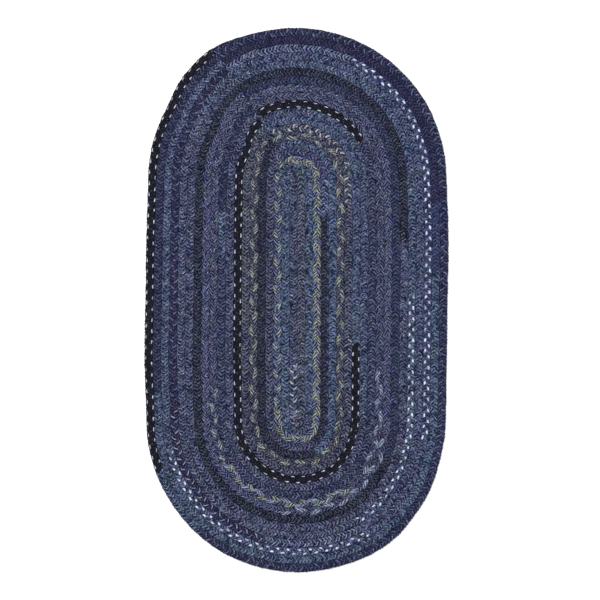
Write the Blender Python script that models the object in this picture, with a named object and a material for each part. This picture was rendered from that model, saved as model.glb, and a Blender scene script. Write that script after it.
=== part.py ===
"""An oval braided rug. Blender 4.5 script, metres, +Z up.

One long three-strand braid is wound flat on edge from the middle outwards, in 19 turns, and laced side to side.
The whole rug is one solid. Each turn of the braid is a flat-topped rib on the face and the same rib on the back.
The rug lies on z = 0, with its length along Y.
"""

import math

import bmesh
import bpy

RUG_LENGTH = 1.22
TURNS = 19
CORE_HALF_LENGTH = 0.2686  # the straight start of the braid, from the middle to its first bend
THICKNESS = 0.0095
GROOVE_DEPTH = 0.0021  # between two turns, on the face and on the back
ROW_WIDTH = (RUG_LENGTH / 2 - CORE_HALF_LENGTH) / TURNS

# Across a row: each line of points, as (share of the row's width, depth below the flat crown).
CROSS_SECTION = ((0.0, GROOVE_DEPTH), (0.24, 0.0), (0.76, 0.0))
RIM_DEPTH = 0.0031  # the outer side is rounded: its wall starts this far in from either face

# Every turn moves out by one row in the upper left bend. The first turn's step ends early, the last one's late,
# and the braid ends there. Angles of the upper bend run clockwise from the left side, those of the lower bend
# from the right side.
STEP_START = math.radians(28)
FIRST_STEP_END = math.radians(54)
STEP_END = math.radians(74)
STEP_DRIFT = 3  # the steps' ends move on with the turns by this power
END_TAPER_START = math.radians(52)

# How far hand winding has pushed the rim out of a true oval, in metres, going clockwise from the left side's foot.
# Each is (stretch of the loop, metres along a side or degrees round a bend, push at the rim).
SWAY = (
    ("left", 0.00, -0.0035),
    ("left", 0.14, 0.0006),
    ("left", 0.34, -0.0026),
    ("top", 12, -0.0079),
    ("top", 28, -0.0082),
    ("top", 42, -0.0013),
    ("top", 56, -0.0017),
    ("top", 70, 0.0002),
    ("top", 84, -0.0019),
    ("top", 110, -0.0039),
    ("top", 140, -0.0061),
    ("top", 170, -0.0081),
    ("right", 0.14, -0.0032),
    ("right", 0.30, -0.0059),
    ("right", 0.50, -0.0086),
    ("bottom", 14, -0.0102),
    ("bottom", 34, -0.0038),
    ("bottom", 54, 0.0038),
    ("bottom", 80, 0.0005),
    ("bottom", 120, 0.0001),
    ("bottom", 150, -0.0030),
)

SWAY_SPREAD = 0.7  # the push grows from nothing at the core line to its whole at the rim, by this power

# Steps between the points round one turn, on each stretch.
SIDE_STEPS = 5
TOP_STEPS_AFTER_STEP = 12
BOTTOM_STEPS = 16
TOP_STEPS_BEFORE_STEP = 3
TOP_STEPS_IN_STEP = 8

MERGE_DISTANCE = 0.0001

side_length = 2 * CORE_HALF_LENGTH
rim_distance = TURNS * ROW_WIDTH
bend_length = math.pi * rim_distance / 2  # a bend halfway across the rows
loop_length = 2 * (side_length + bend_length)


def along_loop(stretch, amount):
    """Distance along the middle loop, clockwise from the foot of the left side."""
    if stretch == "left":
        return amount
    if stretch == "top":
        return side_length + bend_length * amount / math.pi
    if stretch == "right":
        return side_length + bend_length + amount
    return 2 * side_length + bend_length + bend_length * amount / math.pi


def smooth(x):
    x = min(max(x, 0.0), 1.0)
    return x * x * (3 - 2 * x)


def sway_at(along):
    """The rim's push at a place on the loop, eased from each entry of SWAY to the next."""
    marks = []
    for stretch, amount, push in SWAY:
        if stretch in ("top", "bottom"):
            amount = math.radians(amount)
        marks.append((along_loop(stretch, amount), push))
    marks = [(marks[-1][0] - loop_length, marks[-1][1])] + marks + [(marks[0][0] + loop_length, marks[0][1])]
    for (a, push_a), (b, push_b) in zip(marks, marks[1:]):
        if a <= along <= b:
            return push_a + (push_b - push_a) * smooth((along - a) / (b - a))
    return 0.0


def place(along, distance):
    """The point at this distance from the core line, at a place on the loop."""
    if along <= side_length:
        return -distance, along - CORE_HALF_LENGTH
    if along <= side_length + bend_length:
        angle = (along - side_length) / bend_length * math.pi
        return -distance * math.cos(angle), CORE_HALF_LENGTH + distance * math.sin(angle)
    if along <= 2 * side_length + bend_length:
        return distance, CORE_HALF_LENGTH - (along - side_length - bend_length)
    angle = (along - 2 * side_length - bend_length) / bend_length * math.pi
    return distance * math.cos(angle), -CORE_HALF_LENGTH - distance * math.sin(angle)


def stations():
    """One turn's places on the loop, clockwise from the end of the last step.

    Each is (distance along the loop, angle in the step's bend or None, width left to the last turn's braid).
    """
    stretches = (
        ("top", STEP_END, math.pi, TOP_STEPS_AFTER_STEP),
        ("right", 0.0, side_length, SIDE_STEPS),
        ("bottom", 0.0, math.pi, BOTTOM_STEPS),
        ("left", 0.0, side_length, SIDE_STEPS),
        ("top", 0.0, STEP_START, TOP_STEPS_BEFORE_STEP),
        ("top", STEP_START, STEP_END, TOP_STEPS_IN_STEP),
    )
    found = []
    for stretch, start, end, steps in stretches:
        for step in range(steps):
            amount = start + (end - start) * step / steps
            stepping, width_left = None, 1.0
            if stretch == "top" and start == STEP_START:
                stepping = amount
                width_left = 1 - smooth((amount - END_TAPER_START) / (STEP_END - END_TAPER_START))
            found.append((along_loop(stretch, amount), stepping, width_left))
    return found


LOOP = stations()
PER_TURN = len(LOOP)
LAST = TURNS * PER_TURN


def braid_point(station, across):
    """A point of the braid, across being its share of the row's width."""
    turn, index = divmod(station, PER_TURN)
    along, stepping, width_left = LOOP[index]
    climbed = 0.0
    if stepping is not None:
        own_end = FIRST_STEP_END + (STEP_END - FIRST_STEP_END) * (turn / (TURNS - 1)) ** STEP_DRIFT
        climbed = smooth((stepping - STEP_START) / (own_end - STEP_START))
    width = ROW_WIDTH * (width_left if turn == TURNS - 1 else 1.0)
    plain = ROW_WIDTH * (turn + climbed) + width * across
    return place(along, plain + sway_at(along) * (plain / rim_distance) ** SWAY_SPREAD)


def add_face(bm, corners):
    """A face from corners that may repeat, as they do at the core and at the braid's end."""
    own = []
    for corner in corners:
        if corner not in own:
            own.append(corner)
    if len(own) > 2:
        bm.faces.new(own)


def rug_side(bm, crown_z, inwards):
    """One face of the rug. Returns its points round the rim. inwards is +1 where depth is measured upwards."""
    lines = []
    for across, depth in CROSS_SECTION:
        line = []
        for station in range(LAST):
            x, y = braid_point(station, across)
            line.append(bm.verts.new((x, y, crown_z + inwards * depth)))
        lines.append(line)

    rim = []
    for station in range(LAST - PER_TURN, LAST):
        x, y = braid_point(station, 1.0)
        rim.append(bm.verts.new((x, y, crown_z + inwards * RIM_DEPTH)))
    tip = rim[0]

    def corner(line, station):
        if station < LAST:
            return lines[line][station]
        return tip

    def beyond(station):
        """The next turn's groove beside a station, or the rim where there is no next turn."""
        if station + PER_TURN <= LAST:
            return corner(0, station + PER_TURN)
        return rim[station - (LAST - PER_TURN)] if station < LAST else tip

    for station in range(LAST):
        after = station + 1
        for line in range(len(lines) - 1):
            add_face(
                bm,
                (corner(line, station), corner(line, after), corner(line + 1, after), corner(line + 1, station)),
            )
        add_face(bm, (corner(-1, station), corner(-1, after), beyond(after), beyond(station)))

    # The braid's start is tucked in beside the first bend, where the first turn steps out.
    first_of_step = PER_TURN - TOP_STEPS_IN_STEP
    start = [lines[line][0] for line in range(len(lines))]
    tucked = [lines[0][station] for station in range(first_of_step + 1, PER_TURN + 1)]
    bm.faces.new(tucked + start[:0:-1] + start[:1])
    return rim


def make_rug():
    bm = bmesh.new()
    upper = rug_side(bm, THICKNESS, -1)
    lower = rug_side(bm, 0.0, +1)
    for station in range(PER_TURN):
        after = (station + 1) % PER_TURN
        bm.faces.new((upper[station], upper[after], lower[after], lower[station]))
    bmesh.ops.remove_doubles(bm, verts=bm.verts, dist=MERGE_DISTANCE)
    bmesh.ops.recalc_face_normals(bm, faces=bm.faces)
    middle = [(min(v.co[axis] for v in bm.verts) + max(v.co[axis] for v in bm.verts)) / 2 for axis in (0, 1)]
    bmesh.ops.translate(bm, vec=(-middle[0], -middle[1], 0.0), verts=bm.verts)

    mesh = bpy.data.meshes.new("rug")
    bm.to_mesh(mesh)
    bm.free()
    rug = bpy.data.objects.new("rug", mesh)
    bpy.context.collection.objects.link(rug)
    return rug


def yarn_material():
    """Blue, purple and grey chenille and wool yarns, seen together."""
    material = bpy.data.materials.new("braided yarn")
    material.use_nodes = True
    shader = material.node_tree.nodes["Principled BSDF"]
    shader.inputs["Base Color"].default_value = (0.085, 0.095, 0.19, 1.0)
    shader.inputs["Roughness"].default_value = 0.92
    shader.inputs["Metallic"].default_value = 0.0
    return material


for old in list(bpy.data.objects):
    bpy.data.objects.remove(old, do_unlink=True)

rug = make_rug()
rug.data.materials.append(yarn_material())
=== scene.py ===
"""The looks of the oval braided rug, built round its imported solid. Metres, +Z up.

The braid is laid as it is made: yarns are gathered into strands, three strands are plaited, and the plait is
wound from the middle outwards in 19 turns, with new yarns spliced in where its colours change.
"""

import math

import bmesh
import bpy
import numpy as np
from mathutils import Matrix, Vector


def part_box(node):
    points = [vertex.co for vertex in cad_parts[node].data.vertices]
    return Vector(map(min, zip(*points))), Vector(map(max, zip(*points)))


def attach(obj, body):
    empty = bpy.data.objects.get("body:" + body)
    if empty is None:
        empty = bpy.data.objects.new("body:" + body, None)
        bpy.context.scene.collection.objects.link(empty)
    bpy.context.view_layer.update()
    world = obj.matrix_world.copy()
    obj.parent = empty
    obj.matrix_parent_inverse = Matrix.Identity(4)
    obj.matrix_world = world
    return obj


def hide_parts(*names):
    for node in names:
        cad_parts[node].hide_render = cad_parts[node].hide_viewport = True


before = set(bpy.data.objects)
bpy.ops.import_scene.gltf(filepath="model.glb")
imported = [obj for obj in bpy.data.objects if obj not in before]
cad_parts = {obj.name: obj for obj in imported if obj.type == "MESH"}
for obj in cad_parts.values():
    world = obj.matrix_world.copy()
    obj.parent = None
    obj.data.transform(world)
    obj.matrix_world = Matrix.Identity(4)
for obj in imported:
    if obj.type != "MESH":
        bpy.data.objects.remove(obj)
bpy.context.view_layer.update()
bpy.ops.object.select_all(action="DESELECT")

# The run of the braid. It starts in the middle with a straight length, bends round its own start and lies
# clockwise, each turn against the one before. Every turn moves out by one row at the upper left bend, where the
# last one tapers out. Hand winding has left the loops a little uneven.

rug_low, rug_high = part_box("rug")
thickness = rug_high.z - rug_low.z
rug_length = 1.22
turns = 19
core_half_length = 0.2686  # the straight start of the braid, from the middle to its first bend
rim_distance = rug_length / 2 - core_half_length
row_width = rim_distance / turns
side_length = 2 * core_half_length
bend_length = math.pi * rim_distance / 2  # a bend halfway across the rows
loop_length = 2 * (side_length + bend_length)

# Degrees of the upper bend, clockwise from the left. Each turn's step to the next row ends a little later than
# the one before, and the last turn tapers out on its step.
step_start, first_step_end, step_end = 28, 54, 74
step_drift = 3  # the steps' ends move on with the turns by this power
taper_start = 52
least_width_left = 0.06  # at the very tip of the tapered end

# How far the winding has pushed the rim out of a true oval. Each is
# (stretch of the loop, metres along a side or degrees round a bend, metres outwards).
sway = (
    ("left", 0.00, -0.0035),
    ("left", 0.14, 0.0006),
    ("left", 0.34, -0.0026),
    ("top", 12, -0.0079),
    ("top", 28, -0.0082),
    ("top", 42, -0.0013),
    ("top", 56, -0.0017),
    ("top", 70, 0.0002),
    ("top", 84, -0.0019),
    ("top", 110, -0.0039),
    ("top", 140, -0.0061),
    ("top", 170, -0.0081),
    ("right", 0.14, -0.0032),
    ("right", 0.30, -0.0059),
    ("right", 0.50, -0.0086),
    ("bottom", 14, -0.0102),
    ("bottom", 34, -0.0038),
    ("bottom", 54, 0.0038),
    ("bottom", 80, 0.0005),
    ("bottom", 120, 0.0001),
    ("bottom", 150, -0.0030),
)
sway_spread = 0.7  # the push grows from nothing at the core line to its whole at the rim, by this power


def along_loop(stretch, amount):
    """Metres along the middle loop, clockwise from the foot of the left side."""
    foot_of = {
        "left": 0,
        "top": side_length,
        "right": side_length + bend_length,
        "bottom": 2 * side_length + bend_length,
    }
    on_bend = stretch in ("top", "bottom")
    return foot_of[stretch] + (bend_length * amount / 180 if on_bend else amount)


def smooth(x):
    """From 0 to 1 with no sudden start or end."""
    x = min(max(x, 0.0), 1.0)
    return x * x * (3 - 2 * x)


sway_marks = [(along_loop(stretch, amount), push) for stretch, amount, push in sway]
sway_marks = (
    [(sway_marks[-1][0] - loop_length, sway_marks[-1][1])]
    + sway_marks
    + [(sway_marks[0][0] + loop_length, sway_marks[0][1])]
)


def sway_at(along):
    """The rim's push at a place on the loop, eased from each entry of sway to the next."""
    for (a, push_a), (b, push_b) in zip(sway_marks, sway_marks[1:]):
        if a <= along <= b:
            return push_a + (push_b - push_a) * smooth((along - a) / (b - a))
    return 0.0


def place(along, distance):
    """The point this far out from the core line, at a place on the loop."""
    if along <= side_length:
        return Vector((-distance, along - core_half_length))
    along -= side_length
    if along <= bend_length:
        angle = math.pi * along / bend_length
        return Vector((-distance * math.cos(angle), core_half_length + distance * math.sin(angle)))
    along -= bend_length
    if along <= side_length:
        return Vector((distance, core_half_length - along))
    angle = math.pi * (along - side_length) / bend_length
    return Vector((distance * math.cos(angle), -core_half_length - distance * math.sin(angle)))


seam = along_loop("top", step_end)  # where one turn ends and the next starts
step_lead = seam - along_loop("top", step_start)
first_end_lead = seam - along_loop("top", first_step_end)
taper_length = seam - along_loop("top", taper_start)


def width_left(turn):
    """How much of its width the braid has left, as its outer end tapers."""
    if turn < turns - 1:
        return 1.0
    still_to_go = (turns - turn) * loop_length
    return smooth(still_to_go / taper_length)


def braid_point(turn, across):
    """A point of the braid after so many turns, across being its share of the width."""
    whole = min(int(turn), turns - 1)
    since_seam = (turn - whole) * loop_length
    end_lead = first_end_lead * (1 - (whole / (turns - 1)) ** step_drift)
    climbed = smooth((since_seam - loop_length + step_lead) / (step_lead - end_lead))
    plain = row_width * (whole + climbed + across * width_left(turn))
    along = (seam + since_seam) % loop_length
    return place(along, plain + sway_at(along) * (plain / rim_distance) ** sway_spread)


def turn_at(turn, stretch, amount):
    """How many turns the braid has made when it comes to this place in this turn."""
    return turn + ((along_loop(stretch, amount) - seam) % loop_length) / loop_length


# The route's points: so many round each bend and along each side. The last one lies just before the seam,
# where the next turn would start.
bend_points, side_points = 60, 12
marks_in_turn = [("top", 180 * i / bend_points) for i in range(bend_points)]
marks_in_turn += [("right", side_length * i / side_points) for i in range(side_points)]
marks_in_turn += [("bottom", 180 * i / bend_points) for i in range(bend_points)]
marks_in_turn += [("left", side_length * i / side_points) for i in range(side_points)]
parts_of_turn = sorted(turn_at(0, *mark) for mark in marks_in_turn)
route_turns = [whole + part for whole in range(turns) for part in parts_of_turn if part < 0.9999]
route_turns.append(turns - 0.001)

# The frame's origin is the middle of the rug's box, which the uneven rim moves off the core's middle.
rim_points = 720
rim = [braid_point(turns - 1 + i / rim_points, 1.0) for i in range(rim_points)]
middle = Vector([(min(p[axis] for p in rim) + max(p[axis] for p in rim)) / 2 for axis in (0, 1)])
route_points = [braid_point(turn, 0.5) - middle for turn in route_turns]
route_runs = [0.0]
for before, after in zip(route_points, route_points[1:]):
    route_runs.append(route_runs[-1] + (after - before).length)


def run_at(turn):
    """Metres of braid laid after so many turns."""
    return float(np.interp(turn, route_turns, route_runs))


def route_curve(name):
    """The middle line of the wound braid, as a curve at half the rug's thickness."""
    curve = bpy.data.curves.new(name, "CURVE")
    curve.dimensions = "3D"
    curve.twist_mode = "Z_UP"
    spline = curve.splines.new("POLY")
    spline.points.add(len(route_points) - 1)
    for point, turn, spot in zip(spline.points, route_turns, route_points):
        point.co = (spot.x, spot.y, thickness / 2, 1.0)
        point.radius = max(width_left(turn), least_width_left)
    route = bpy.data.objects.new(name, curve)
    bpy.context.collection.objects.link(route)
    return route


# Yarns. The strands are of wool and chenille yarns, heathered, so one yarn holds two or three shades of its
# colour and some pale flecks. They lie side by side in the strand, and their short fibres make them matt.


class Wire:
    """A value in a material. Sums on wires add the nodes that work them out."""

    def __init__(self, socket):
        self.socket = socket
        self.tree = socket.id_data

    def node(self, kind, settings=None, inputs=None, output=0):
        return add_node(self.tree, kind, settings, inputs, output)

    def math(self, operation, *values):
        """A Math node. Its values are wires or numbers."""
        return self.node("ShaderNodeMath", {"operation": operation}, dict(enumerate(values)))

    def __add__(self, other):
        return self.math("ADD", self, other)

    def __sub__(self, other):
        return self.math("SUBTRACT", self, other)

    def __rsub__(self, other):
        return self.math("SUBTRACT", other, self)

    def __mul__(self, other):
        return self.math("MULTIPLY", self, other)

    __radd__ = __add__
    __rmul__ = __mul__


def add_node(tree, kind, settings=None, inputs=None, output=0):
    """A node of this kind, with its settings made first and then its sockets, as a wire from one output."""
    node = tree.nodes.new(kind)
    for name, value in (settings or {}).items():
        setattr(node, name, value)
    for name, value in (inputs or {}).items():
        if isinstance(value, Wire):
            tree.links.new(value.socket, node.inputs[name])
        else:
            node.inputs[name].default_value = value
    return Wire(node.outputs[output])


def blend(share, first, second, kind="MIX"):
    """Two colours mixed by share, in the way that kind names."""
    colours = [c if isinstance(c, Wire) or len(c) == 4 else (*c, 1.0) for c in (first, second)]
    tree = next(value.tree for value in (share, first, second) if isinstance(value, Wire))
    return add_node(
        tree,
        "ShaderNodeMix",
        {"data_type": "RGBA", "blend_type": kind},
        {0: share, 6: colours[0], 7: colours[1]},
        output=2,
    )


# Along a yarn, so many of each lie in a metre of it or in a ply. Across it, so many lie in the yarn's width.
plies_along, shades_along, tufts_along, hairs_along_ply = 330, 180, 260, 5
ply_slant, tufts_across, hairs_across = 1.2, 1.6, 1.5
# The yarns wander round the strand by so many of their widths, slowly and in a quick wobble.
lane_drift, lane_wobble = 3, 0.3
# How fine the noises are, in waves to the metre.
drift_scale, wobble_scale, patch_scale, nub_scale, dye_scale = 30.0, 300.0, 26.0, 330.0, 40.0
yarn_step = 3.71  # how far apart neighbouring yarns read a noise, so that they differ
dye_drift = 0.35  # how far the dye drifts in hue from place to place
relief_depth = 0.0011


def yarn_material(name, main, second, fleck, second_share, fleck_share, flank_shade, picked=None, picked_on=None):
    """A strand's yarns. The UV map "strand" holds metres along the strand, and yarns round it.

    The more flank shade, the darker the painted shade on a strand's flanks. A picked yarn is a paler one that
    shows once in each lobe: near the row's "edge", at its "outside" edge, on the "lobe" beside its middle, or on
    the strand's "crown".
    """
    material = bpy.data.materials.new(name)
    material.use_nodes = True
    tree = material.node_tree
    shader = tree.nodes["Principled BSDF"]

    uv = add_node(tree, "ShaderNodeUVMap", {"uv_map": "strand"})
    along = uv.node("ShaderNodeSeparateXYZ", inputs={0: uv}, output=0)
    around = uv.node("ShaderNodeSeparateXYZ", inputs={0: uv}, output=1)
    place_on = add_node(tree, "ShaderNodeTexCoord", output=3)
    crest = add_node(tree, "ShaderNodeAttribute", {"attribute_name": "crest"}, output=2)

    def noise(vector, scale, detail=2.0, roughness=0.6):
        return along.node(
            "ShaderNodeTexNoise",
            inputs={"Vector": vector, "Scale": scale, "Detail": detail, "Roughness": roughness},
        )

    def spot_at(x, y, z):
        """Where a noise is read. z sets one noise apart from another."""
        return along.node("ShaderNodeCombineXYZ", inputs={0: x, 1: y, 2: z})

    def ramp(value, low, high):
        eased = {"interpolation_type": "SMOOTHSTEP"}
        return along.node("ShaderNodeMapRange", eased, {0: value, 1: low, 2: high})

    # The yarns lie side by side and wander a little. Each is twisted of plies, and they of hairs.
    wobble = noise(place_on, wobble_scale)
    slow = {"W": along, "Scale": drift_scale, "Detail": 1.0}
    drift = along.node("ShaderNodeTexNoise", {"noise_dimensions": "1D"}, slow)
    lane = around + (drift - 0.5) * lane_drift + (wobble - 0.5) * lane_wobble
    yarn = lane.math("FLOOR", lane)
    within = lane - yarn
    crown = within.math("SINE", within * math.pi)
    twist = along * plies_along + within * ply_slant
    ply = twist.math("ABSOLUTE", twist.math("SINE", twist * math.pi))
    hair = spot_at(twist * hairs_along_ply, within * hairs_across + yarn * yarn_step, 2.9)
    hairs = noise(hair, 1.0, 3.0, 0.7)
    tufts = noise(spot_at(along * tufts_along, lane * tufts_across, 4.7), 1.0)
    patches = noise(place_on, patch_scale)

    # The main and second shades, in places along each yarn, with flecks over them. Every other yarn is lighter.
    stripe_depth = 0.26 if flank_shade < 0.5 else 0.1
    stripes = (yarn.math("FLOORED_MODULO", yarn, 2.0) - 0.5) * stripe_depth
    shade = noise(spot_at(along * shades_along, yarn * yarn_step, 1.3), 1.0, 3.0)
    shade = shade + stripes + (hairs - 0.5) * 0.5
    middle = 0.5 + (0.5 - second_share) * 0.45
    colour = blend(ramp(shade, middle - 0.12, middle + 0.12), main, second)
    fleck_from = 0.75 - 0.25 * fleck_share
    colour = blend(ramp(tufts * 0.6 + hairs * 0.4, fleck_from - 0.06, fleck_from + 0.02), colour, fleck)

    marked = 0.0
    if picked:
        edge = add_node(tree, "ShaderNodeAttribute", {"attribute_name": "edge"}, output=2)
        unsure = wobble - 0.5
        from_middle = edge.math("ABSOLUTE", edge) + unsure * 0.3
        if picked_on == "edge":
            marked = ramp(from_middle, 0.58, 0.65) * (1.0 - ramp(from_middle, 0.8, 0.87))
        elif picked_on == "outside":
            marked = ramp(edge + unsure * 0.3, 0.5, 0.6)
        elif picked_on == "lobe":
            marked = ramp(from_middle, 0.2, 0.3) * (1.0 - ramp(from_middle, 0.6, 0.72))
        elif picked_on == "crown":
            marked = ramp(crest + unsure * 0.2, 0.9, 0.95)
        marked = marked * (0.6 + 0.4 * ramp(patches, 0.42, 0.5))
        colour = blend(marked, colour, picked)

    # Painted shade: between the plies, the yarns and the strands, and low in the braid, little light gets in, so
    # the colour is painted darker and bluer there. The same factor also holds the random tone of the hairs,
    # tufts and patches.
    height = place_on.node("ShaderNodeSeparateXYZ", inputs={0: place_on}, output=2)
    depth = place_on.math("ABSOLUTE", (height - thickness / 2) * (2 / thickness))
    # Painted shade on a strand's flanks, away from its crest.
    painted_flank_shade = 1.0 - flank_shade + flank_shade * ramp(crest + (tufts - 0.5) * 0.8, 0.3, 0.9)
    light = (0.8 + 0.2 * ramp(depth, 0.0, 0.5)) * painted_flank_shade
    light = light * (0.45 + 0.7 * crown) * (0.5 + 0.6 * ply) * (0.5 + 1.1 * hairs)
    light = light * (0.9 + 0.45 * patches) * (0.35 + 1.3 * ramp(tufts, 0.36, 0.64)) + 0.3 * marked
    lit = light.math("MINIMUM", light, 1.0)
    # The painted shade's colour: the main one made darker and bluer.
    painted_shade_colour = tuple(level * share for level, share in zip(main, (0.25, 0.28, 0.42)))
    colour = blend(lit, painted_shade_colour, colour)

    # Nubs of pale fibre stand out of the crowns, and the dye has not taken evenly.
    nub = tuple(min(level * 1.7 + 0.04, 0.75) for level in fleck)
    nub_from = 0.72 - 0.08 * fleck_share
    nubs = ramp(noise(place_on, nub_scale, 1.0), nub_from, nub_from + 0.05)
    colour = blend(nubs * (0.3 + 0.7 * crown), colour, nub)
    spread = {"Vector": place_on, "Scale": dye_scale, "Detail": 2.0}
    dye = place_on.node("ShaderNodeTexNoise", inputs=spread, output=1)
    tint = dye.node(
        "ShaderNodeVectorMath",
        {"operation": "MULTIPLY_ADD"},
        {0: dye, 1: (dye_drift,) * 3, 2: (1.0 - dye_drift / 2,) * 3},
    )
    colour = blend(1.0, colour, tint, "MULTIPLY")
    tree.links.new(colour.socket, shader.inputs["Base Color"])

    relief = crown * (0.9 + 0.6 * ply + 0.35 * hairs)
    bump = relief.node("ShaderNodeBump", inputs={"Height": relief, "Distance": relief_depth, "Strength": 1.0})
    tree.links.new(bump.socket, shader.inputs["Normal"])
    rough = 0.84 + hairs * 0.14
    tree.links.new(rough.socket, shader.inputs["Roughness"])
    shader.inputs["Sheen Weight"].default_value = 0.03
    shader.inputs["Sheen Roughness"].default_value = 0.5
    shader.inputs["Sheen Tint"].default_value = (0.35, 0.45, 1.0, 1.0)
    shader.inputs["Specular IOR Level"].default_value = 0.02
    return material


# Each is (main, second, fleck, share of the second shade, share of flecks, flank shade), as linear colours.
# The flank shade is painted shade on the strands' flanks.
yarn_table = {
    "navy": ((0.0124, 0.0181, 0.0497), (0.0755, 0.0859, 0.1499), (0.194, 0.213, 0.307), 0.45, 0.25, 0.1),
    "indigo": ((0.0284, 0.0373, 0.0876), (0.0685, 0.0748, 0.2017), (0.177, 0.183, 0.33), 0.45, 0.25, 0.1),
    "blue": ((0.0067, 0.0127, 0.0443), (0.1335, 0.162, 0.3009), (0.267, 0.33, 0.483), 0.5, 0.5, 0.6),
    "lilac_blue": ((0.0062, 0.0095, 0.0333), (0.1301, 0.146, 0.2455), (0.293, 0.307, 0.443), 0.5, 0.5, 0.6),
    "teal": ((0.0069, 0.0155, 0.0383), (0.1524, 0.2087, 0.3178), (0.262, 0.386, 0.471), 0.5, 0.3, 0.6),
    "light_teal": ((0.0078, 0.0141, 0.0507), (0.1149, 0.144, 0.2376), (0.316, 0.391, 0.513), 0.5, 0.5, 0.35),
    "periwinkle": ((0.0056, 0.0077, 0.0241), (0.2124, 0.248, 0.4335), (0.292, 0.324, 0.393), 0.5, 0.3, 0.35),
    "purple": ((0.0106, 0.0132, 0.0391), (0.1262, 0.1402, 0.2473), (0.307, 0.284, 0.404), 0.45, 0.3, 0.35),
    "mauve": ((0.0121, 0.0137, 0.0314), (0.116, 0.1255, 0.1897), (0.314, 0.296, 0.328), 0.45, 0.5, 0.35),
    "plum": ((0.0141, 0.0168, 0.0428), (0.0534, 0.0495, 0.1131), (0.165, 0.145, 0.234), 0.45, 0.25, 0.1),
    "lilac_grey": ((0.0092, 0.0118, 0.0423), (0.138, 0.1517, 0.2551), (0.338, 0.353, 0.454), 0.5, 0.5, 0.35),
    "lilac": ((0.007, 0.0092, 0.0481), (0.1316, 0.1488, 0.2969), (0.294, 0.308, 0.5), 0.5, 0.5, 0.35),
    "grey_blue": ((0.015, 0.0255, 0.0407), (0.1314, 0.1614, 0.2124), (0.356, 0.377, 0.366), 0.5, 0.35, 0.35),
    "dark": ((0.0087, 0.0103, 0.023), (0.056, 0.0593, 0.0941), (0.223, 0.231, 0.334), 0.45, 0.3, 0.1),
    "dark_blue": ((0.0087, 0.0103, 0.023), (0.056, 0.0593, 0.0941), (0.223, 0.231, 0.334), 0.45, 0.3, 0.1),
    "green_black": ((0.0051, 0.0077, 0.0133), (0.0619, 0.069, 0.1104), (0.228, 0.26, 0.321), 0.45, 0.3, 0.1),
    "black": ((0.0093, 0.011, 0.0123), (0.0209, 0.0184, 0.0272), (0.121, 0.123, 0.161), 0.4, 0.3, 0.1),
    "black_white": ((0.0091, 0.0116, 0.0151), (0.0203, 0.0199, 0.0344), (0.123, 0.126, 0.187), 0.4, 0.3, 0.1),
    "khaki": ((0.0274, 0.0351, 0.0284), (0.3798, 0.4166, 0.4114), (0.534, 0.549, 0.587), 0.5, 0.35, 0.35),
    "cream": ((0.0348, 0.0426, 0.0921), (0.3984, 0.4363, 0.4697), (0.514, 0.53, 0.582), 0.5, 0.4, 0.35),
    "sky": ((0.0505, 0.0663, 0.131), (0.3983, 0.4449, 0.5745), (0.545, 0.577, 0.658), 0.5, 0.35, 0.35),
    "white": ((0.0067, 0.0127, 0.0443), (0.1335, 0.162, 0.3009), (0.267, 0.33, 0.483), 0.5, 0.5, 0.5),
    "purple_white": ((0.0106, 0.0132, 0.0391), (0.1262, 0.1402, 0.2473), (0.307, 0.284, 0.404), 0.45, 0.3, 0.35),
}

# Each is (colour, where it shows), of the yarns that hold a picked one.
picked_yarns = {
    "dark_blue": ((0.09, 0.13, 0.3), "outside"),
    "black_white": ((0.64, 0.67, 0.77), "edge"),
    "white": ((0.74, 0.77, 0.9), "lobe"),
    "purple_white": ((0.38, 0.4, 0.5), "crown"),
}
yarns = {
    name: yarn_material("yarn " + name.replace("_", " "), *row, *picked_yarns.get(name, ()))
    for name, row in yarn_table.items()
}


# The plaits. Three flat strands cross over one another, each on top as it runs from the middle to an edge. The
# short plait is drawn tight and shows steep small lobes. The long one is slack, with long lobes of many yarns.


def make_active(piece):
    bpy.ops.object.select_all(action="DESELECT")
    piece.select_set(True)
    bpy.context.view_layer.objects.active = piece


crest_delay = 0.3  # in radians of its rise and fall: a strand is highest a little past halfway to the edge
crossing_haste = 1.6  # how quickly it passes from below the others to above them
strand_flatness = 0.85  # under 1, a strand's top is flatter than an ellipse
squeezed_share = 0.3  # how much of what swings out past squeeze_from is pressed back by the next row


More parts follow.
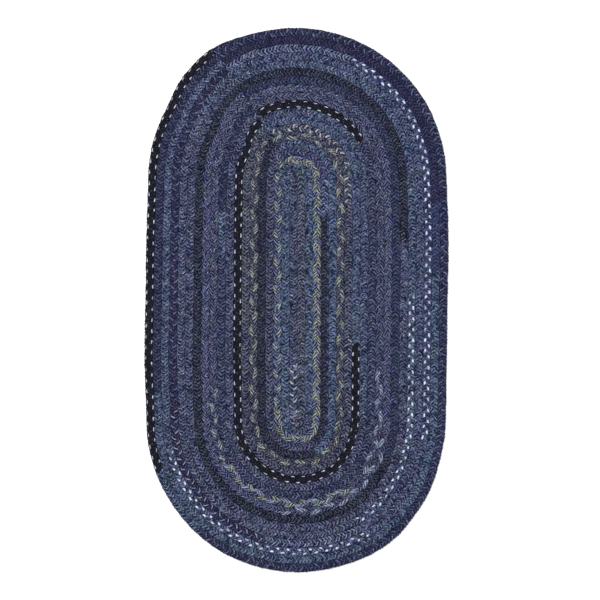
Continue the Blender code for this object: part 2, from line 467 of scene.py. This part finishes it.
def plait_period(
    name, period, swing, lift, half_width, half_height, squeeze_from, ridges, rings, yarns_round, fan
):
    """Three strands for one whole period of a plait, lying along X with the rug's outside towards +Y.

    A strand swings to both edges and rises over the others. It has so many ridges on each side and rings along
    it. yarns_round yarns lie round it, and where it turns they fan out by so many yarns' widths.
    """
    strands = []
    for strand in range(3):
        bpy.ops.mesh.primitive_cylinder_add(
            vertices=2 * ridges,
            radius=1.0,
            depth=period,
            end_fill_type="NOTHING",
            location=(period / 2, 0.0, 0.0),
            rotation=(0.0, math.pi / 2, 0.0),
        )
        piece = bpy.context.object
        bpy.ops.object.transform_apply(location=True, rotation=True, scale=True)
        bpy.ops.object.mode_set(mode="EDIT")
        bpy.ops.mesh.select_mode(type="EDGE")
        bpy.ops.mesh.select_all(action="DESELECT")
        bm = bmesh.from_edit_mesh(piece.data)
        for edge in bm.edges:
            if abs(edge.verts[0].co.x - edge.verts[1].co.x) > period / 2:
                edge.select_set(True)
        bmesh.update_edit_mesh(piece.data)
        bpy.ops.mesh.subdivide(number_cuts=rings - 1)
        bpy.ops.object.mode_set(mode="OBJECT")

        mesh = piece.data
        straight = [Vector(vertex.co) for vertex in mesh.vertices]
        turn_share = [(math.atan2(p.z, p.y) / math.tau) % 1.0 for p in straight]
        mesh.uv_layers.remove(mesh.uv_layers[0])
        layer = mesh.uv_layers.new(name="strand")
        for face in mesh.polygons:
            shares = [turn_share[mesh.loops[i].vertex_index] for i in face.loop_indices]
            for i, share in zip(face.loop_indices, shares):
                if share < 0.01 and max(shares) > 0.6:  # the last face round the strand ends at 1, not at 0
                    share = 1.0
                along = straight[mesh.loops[i].vertex_index].x
                fold = fan * math.cos(math.tau * (along / period + strand / 3))
                layer.data[i].uv = (along, (strand + share) * yarns_round - fold)

        def path(x):
            phase = math.tau * (x / period + strand / 3)
            wave = math.sin(2 * phase - crest_delay)
            height = lift * math.tanh(crossing_haste * wave) / math.tanh(crossing_haste)
            return Vector((x, swing * math.sin(phase), height))

        for vertex, spot, share in zip(mesh.vertices, straight, turn_share):
            centre = path(spot.x)
            ahead = path(spot.x + period / 1000) - path(spot.x - period / 1000)
            side = Vector((-ahead.y, ahead.x, 0.0)).normalized()
            up = ahead.cross(side).normalized()
            flat_z = math.copysign(abs(spot.z) ** strand_flatness, spot.z)
            vertex.co = centre + side * (spot.y * half_width) + up * (flat_z * half_height)
            squeezed = max(abs(vertex.co.y) - squeeze_from, 0.0) * squeezed_share
            vertex.co.y -= math.copysign(squeezed, vertex.co.y)
        # For the materials: how near the strand's crest a point is, and how near the row's outer or inner edge.
        crest = mesh.attributes.new("crest", "FLOAT", "POINT")
        crest.data.foreach_set("value", [abs(math.sin(math.tau * share)) for share in turn_share])
        outwards = mesh.attributes.new("edge", "FLOAT", "POINT")
        outwards.data.foreach_set("value", [vertex.co.y / (row_width / 2) for vertex in mesh.vertices])
        mesh.materials.clear()
        for yarn in ("white", "blue", "black"):  # until the lengths of braid get their own
            mesh.materials.append(yarns[yarn])
        mesh.polygons.foreach_set("material_index", [strand] * len(mesh.polygons))
        strands.append(piece)

    make_active(strands[0])
    for piece in strands:
        piece.select_set(True)
    bpy.ops.object.join()
    plait = bpy.context.object
    plait.name = name
    bpy.ops.object.mode_set(mode="EDIT")
    bpy.ops.mesh.select_all(action="SELECT")
    bpy.ops.mesh.quads_convert_to_tris(quad_method="SHORTEST_DIAGONAL")
    bpy.ops.object.mode_set(mode="OBJECT")
    bpy.ops.object.shade_smooth()
    plait["period"] = period
    return plait


plaits = {
    "short": plait_period(
        "short_plait",
        period=0.0243,
        swing=0.0084,
        lift=0.0019,
        half_width=0.0039,
        half_height=0.0028,
        squeeze_from=0.0058,
        ridges=4,
        rings=10,
        yarns_round=6,
        fan=0.0,
    ),
    "long": plait_period(
        "long_plait",
        period=0.066,
        swing=0.0064,
        lift=0.0019,
        half_width=0.0056,
        half_height=0.0028,
        squeeze_from=0.0064,
        ridges=6,
        rings=18,
        yarns_round=10,
        fan=2.5,
    ),
}

route = route_curve("route")

# No two lobes of a hand-laid braid are alike: some are pushed along it, and some stand prouder than others.
pushing = bpy.data.textures.new("pushed along", "CLOUDS")
pushing.noise_scale = 0.022
pushing.noise_depth = 2
push_strength = 0.007
swelling = bpy.data.textures.new("standing proud", "CLOUDS")
swelling.noise_scale = 0.011
swelling.noise_depth = 1
swell_strength = 0.0024
floor_gap = 0.0001  # the plait is pressed flat this far above the floor


def lay_braid(name, plait, start, end, strand_yarns):
    """One length of the braid, from start to end in metres along it, bent along the route.

    The plait is drawn out a little so that whole periods fill the length.
    """
    model = plaits[plait]
    period = model["period"]
    repeats = max(1, round((end - start) / period))
    pull = (end - start) / (repeats * period)
    piece = model.copy()
    piece.data = model.data.copy()
    piece.name = piece.data.name = name
    bpy.context.collection.objects.link(piece)
    piece.data.transform(Matrix.Translation((start, 0.0, 0.0)) @ Matrix.Diagonal((pull, 1.0, 1.0, 1.0)))
    for slot, yarn in enumerate(strand_yarns):
        piece.data.materials[slot] = yarns[yarn]
    uv = np.empty(len(piece.data.loops) * 2, np.float32)
    piece.data.uv_layers["strand"].data.foreach_get("uv", uv)
    uv[::2] += start
    piece.data.uv_layers["strand"].data.foreach_set("uv", uv)

    repeat = piece.modifiers.new("repeat", "ARRAY")
    repeat.use_relative_offset = False
    repeat.use_constant_offset = True
    repeat.constant_offset_displace = (period * pull, 0.0, 0.0)
    repeat.count = repeats
    repeat.use_merge_vertices = True
    repeat.merge_threshold = 0.0001
    repeat.offset_u = period
    push = piece.modifiers.new("push", "DISPLACE")
    push.texture = pushing
    push.texture_coords = "LOCAL"
    push.direction = "X"
    push.strength = push_strength
    push.mid_level = 0.5
    wind = piece.modifiers.new("wind", "CURVE")
    wind.object = route
    wind.deform_axis = "POS_X"
    swell = piece.modifiers.new("swell", "DISPLACE")
    swell.texture = swelling
    swell.texture_coords = "LOCAL"
    swell.strength = swell_strength
    swell.mid_level = 0.5
    make_active(piece)
    for modifier in ("repeat", "push", "wind", "swell"):
        bpy.ops.object.modifier_apply(modifier=modifier)
    bpy.ops.object.mode_set(mode="EDIT")
    bpy.ops.mesh.select_all(action="SELECT")
    bpy.ops.mesh.fill_holes(sides=40)  # the strands' two ends
    bpy.ops.object.mode_set(mode="OBJECT")
    points = np.empty(len(piece.data.vertices) * 3)
    piece.data.vertices.foreach_get("co", points)
    points[2::3] = np.maximum(points[2::3], floor_gap)
    piece.data.vertices.foreach_set("co", points)
    piece.data.update()
    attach(piece, "root")
    return piece


# The splices. Where a colour runs out, new yarns are sewn to the ends of the old ones. Going out from the
# middle it happens at these places, and most turns change at their ends, in the step. Each is
# (turn, stretch, metres along a side or degrees round a bend, plait, yarns of the three strands).
splices = (
    (0, "top", 74, "short", ("grey_blue", "grey_blue", "grey_blue")),
    (0, "right", 0.02, "short", ("grey_blue", "lilac_grey", "mauve")),
    (0, "bottom", 0, "short", ("purple", "lilac_blue", "mauve")),
    (0, "left", 0.0, "short", ("cream", "lilac_blue", "purple")),
    (0, "left", 0.13, "short", ("lilac_blue", "lilac_blue", "purple")),
    (0, "top", 58, "short", ("teal", "teal", "blue")),
    (1, "bottom", 0, "short", ("purple", "lilac_grey", "purple")),
    (1, "bottom", 85, "short", ("teal", "teal", "blue")),
    (1, "top", 58, "long", ("khaki", "khaki", "periwinkle")),
    (2, "left", 0.03, "long", ("cream", "periwinkle", "teal")),
    (2, "left", 0.28, "long", ("khaki", "periwinkle", "light_teal")),
    (2, "top", 58, "short", ("purple", "indigo", "purple")),
    (3, "right", 0.0, "short", ("periwinkle", "blue", "light_teal")),
    (3, "right", 0.085, "short", ("dark", "dark", "dark_blue")),
    (3, "bottom", 50, "short", ("purple", "purple", "mauve")),
    (3, "top", 58, "short", ("teal", "blue", "blue")),
    (4, "right", 0.0, "short", ("blue", "blue", "teal")),
    (4, "bottom", 60, "short", ("dark", "dark", "dark")),
    (4, "top", 58, "long", ("khaki", "mauve", "mauve")),
    (5, "top", 58, "short", ("mauve", "mauve", "cream")),
    (6, "right", 0.05, "short", ("mauve", "purple", "mauve")),
    (6, "right", 0.35, "short", ("mauve", "purple", "purple_white")),
    (6, "right", 0.46, "short", ("mauve", "purple", "mauve")),
    (6, "left", 0.20, "short", ("mauve", "grey_blue", "mauve")),
    (6, "top", 58, "short", ("teal", "blue", "blue")),
    (7, "right", 0.28, "short", ("light_teal", "teal", "teal")),
    (7, "right", 0.367, "short", ("black", "black", "black_white")),
    (7, "top", 58, "short", ("blue", "lilac_blue", "light_teal")),
    (8, "bottom", 0, "short", ("lilac_blue", "lilac_blue", "purple")),
    (8, "top", 59, "short", ("black", "black", "black_white")),
    (9, "top", 149, "short", ("purple", "navy", "purple")),
    (9, "left", 0.36, "short", ("teal", "blue", "teal")),
    (9, "left", 0.465, "short", ("navy", "plum", "navy")),
    (9, "top", 58, "long", ("lilac_grey", "lilac_grey", "purple")),
    (10, "right", 0.42, "long", ("lilac_grey", "sky", "purple")),
    (10, "bottom", 40, "long", ("lilac_grey", "lilac_grey", "purple")),
    (10, "bottom", 54, "long", ("khaki", "sky", "purple")),
    (10, "bottom", 150, "long", ("cream", "lilac_grey", "purple")),
    (10, "left", 0.08, "long", ("lilac_grey", "purple", "lilac_grey")),
    (10, "top", 58, "long", ("lilac_grey", "lilac", "lilac_grey")),
    (11, "bottom", 10, "long", ("lilac_grey", "sky", "purple")),
    (11, "bottom", 100, "long", ("lilac_grey", "lilac", "lilac_grey")),
    (11, "top", 58, "short", ("navy", "navy", "navy")),
    (12, "bottom", 23, "short", ("green_black", "green_black", "green_black")),
    (12, "top", 58, "short", ("green_black", "green_black", "dark")),
    (13, "right", 0.139, "short", ("lilac_blue", "blue", "lilac_blue")),
    (13, "bottom", 0, "short", ("lilac_blue", "purple", "lilac_blue")),
    (13, "top", 58, "short", ("light_teal", "light_teal", "blue")),
    (14, "right", 0.262, "short", ("white", "blue", "teal")),
    (14, "bottom", 61, "short", ("lilac_grey", "light_teal", "lilac_blue")),
    (14, "top", 58, "short", ("blue", "blue", "lilac_blue")),
    (15, "bottom", 62, "short", ("purple_white", "periwinkle", "blue")),
    (15, "bottom", 105, "short", ("plum", "plum", "purple_white")),
    (15, "left", 0.02, "short", ("plum", "plum", "purple")),
    (15, "top", 58, "short", ("light_teal", "periwinkle", "periwinkle")),
    (16, "top", 115, "short", ("white", "blue", "indigo")),
    (16, "bottom", 10, "short", ("blue", "lilac_blue", "blue")),
    (16, "bottom", 58, "short", ("white", "blue", "blue")),
    (16, "bottom", 167, "short", ("light_teal", "blue", "lilac_blue")),
    (16, "top", 58, "short", ("plum", "plum", "plum")),
    (17, "right", 0.049, "short", ("indigo", "navy", "indigo")),
    (17, "right", 0.206, "short", ("teal", "blue", "teal")),
    (17, "left", 0.056, "short", ("navy", "navy", "plum")),
    (17, "top", 58, "short", ("navy", "purple", "plum")),
    (18, "right", 0.336, "short", ("plum", "navy", "purple")),
    (18, "bottom", 133, "short", ("teal", "teal", "light_teal")),
    (18, "bottom", 159, "short", ("black", "black", "black_white")),
    (18, "top", 56, "short", ("navy", "purple", "plum")),
)
starts = [run_at(turn_at(*splice[:3])) for splice in splices]
for number, (splice, start, end) in enumerate(zip(splices, starts, starts[1:] + [route_runs[-1]])):
    turn, plait, strand_yarns = splice[0], splice[3], splice[4]
    lay_braid(f"braid_{number + 1:02d}_turn_{turn + 1:02d}", plait, start, end, strand_yarns)
for model in plaits.values():
    bpy.data.objects.remove(model)

# The rug's body. Inside the plaits the strands' hidden runs are pressed into one dense mass, and a lacing
# thread holds each turn to the next. It shows only down between the lobes, and its dark blue there is painted
# shade.


fibre_scale, fibre_depth = 900.0, 0.0005


def body_material():
    material = bpy.data.materials.new("packed yarn in painted shade")
    material.use_nodes = True
    tree = material.node_tree
    shader = tree.nodes["Principled BSDF"]
    place_on = add_node(tree, "ShaderNodeTexCoord", output=3)
    fine = {"Vector": place_on, "Scale": fibre_scale, "Detail": 3.0}
    fibres = place_on.node("ShaderNodeTexNoise", inputs=fine)
    # Painted shade: a dark blue that stands for the shadow down between the lobes, with a grain of fine fibres.
    colour = blend(fibres, (0.004, 0.006, 0.02), (0.014, 0.018, 0.06))
    tree.links.new(colour.socket, shader.inputs["Base Color"])
    bump = fibres.node("ShaderNodeBump", inputs={"Height": fibres, "Distance": fibre_depth, "Strength": 0.8})
    tree.links.new(bump.socket, shader.inputs["Normal"])
    shader.inputs["Roughness"].default_value = 0.95
    shader.inputs["Specular IOR Level"].default_value = 0.02
    return material


packed_height = 0.32 * thickness
bpy.ops.curve.primitive_nurbs_circle_add(radius=1.0, location=(0.0, 0.0, 0.0))
section = bpy.context.object
section.scale = (row_width / 2, packed_height / 2, 1.0)
body_route = route_curve("rug_body")
body_route.data.bevel_mode = "OBJECT"
body_route.data.bevel_object = section
body_route.data.use_fill_caps = True
section.data.resolution_u = 1
make_active(body_route)
bpy.ops.object.convert(target="MESH")
body = bpy.context.object
bpy.data.objects.remove(section)
bpy.data.objects.remove(route)
body.data.materials.clear()
body.data.materials.append(body_material())
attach(body, "root")
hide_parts("rug")

# The studio. A plain pale floor, with soft light from two large lamps above it and from all round, and the
# camera straight above the rug, as in the photo.

bpy.ops.mesh.primitive_plane_add(size=8.0, location=(0.0, 0.0, 0.0))
floor = bpy.context.object
floor.name = "floor"
floor_paint = bpy.data.materials.new("pale floor")
floor_paint.use_nodes = True
floor_paint.node_tree.nodes["Principled BSDF"].inputs["Base Color"].default_value = (0.9, 0.9, 0.9, 1.0)
floor_paint.node_tree.nodes["Principled BSDF"].inputs["Roughness"].default_value = 0.9
floor.data.materials.append(floor_paint)

world = bpy.data.worlds.new("studio")
bpy.context.scene.world = world
world.use_nodes = True
world.node_tree.nodes["Background"].inputs["Color"].default_value = (1.0, 1.0, 1.0, 1.0)
world.node_tree.nodes["Background"].inputs["Strength"].default_value = 0.6

# Each is (name, place, size in metres, watts).
lamps = (
    ("key", (-0.7, 0.7, 2.6), 1.6, 60.0),
    ("fill", (0.7, -0.6, 2.8), 2.4, 40.0),
)
for name, spot, size, power in lamps:
    bpy.ops.object.light_add(type="AREA", location=spot)
    lamp = bpy.context.object
    lamp.name = name
    lamp.data.energy = power
    lamp.data.size = size
    lamp.rotation_mode = "QUATERNION"
    lamp.rotation_quaternion = (-Vector(spot)).to_track_quat("-Z", "Y")

photo_width = 600
rug_pixels = 545  # the rug's length in the photo
rug_in_photo = (296.5, 300.0)  # the middle of the rug, in pixels from the photo's upper left
metres_per_pixel = rug_length / rug_pixels
camera_height = 5.0
sensor_width = 36.0
bpy.ops.object.camera_add(
    location=(
        (photo_width / 2 - rug_in_photo[0]) * metres_per_pixel,
        (rug_in_photo[1] - photo_width / 2) * metres_per_pixel,
        camera_height,
    )
)
camera = bpy.context.object
camera.data.sensor_width = sensor_width
camera.data.lens = sensor_width * (camera_height - thickness) / (photo_width * metres_per_pixel)
bpy.context.scene.camera = camera
bpy.context.scene.view_settings.view_transform = "Standard"
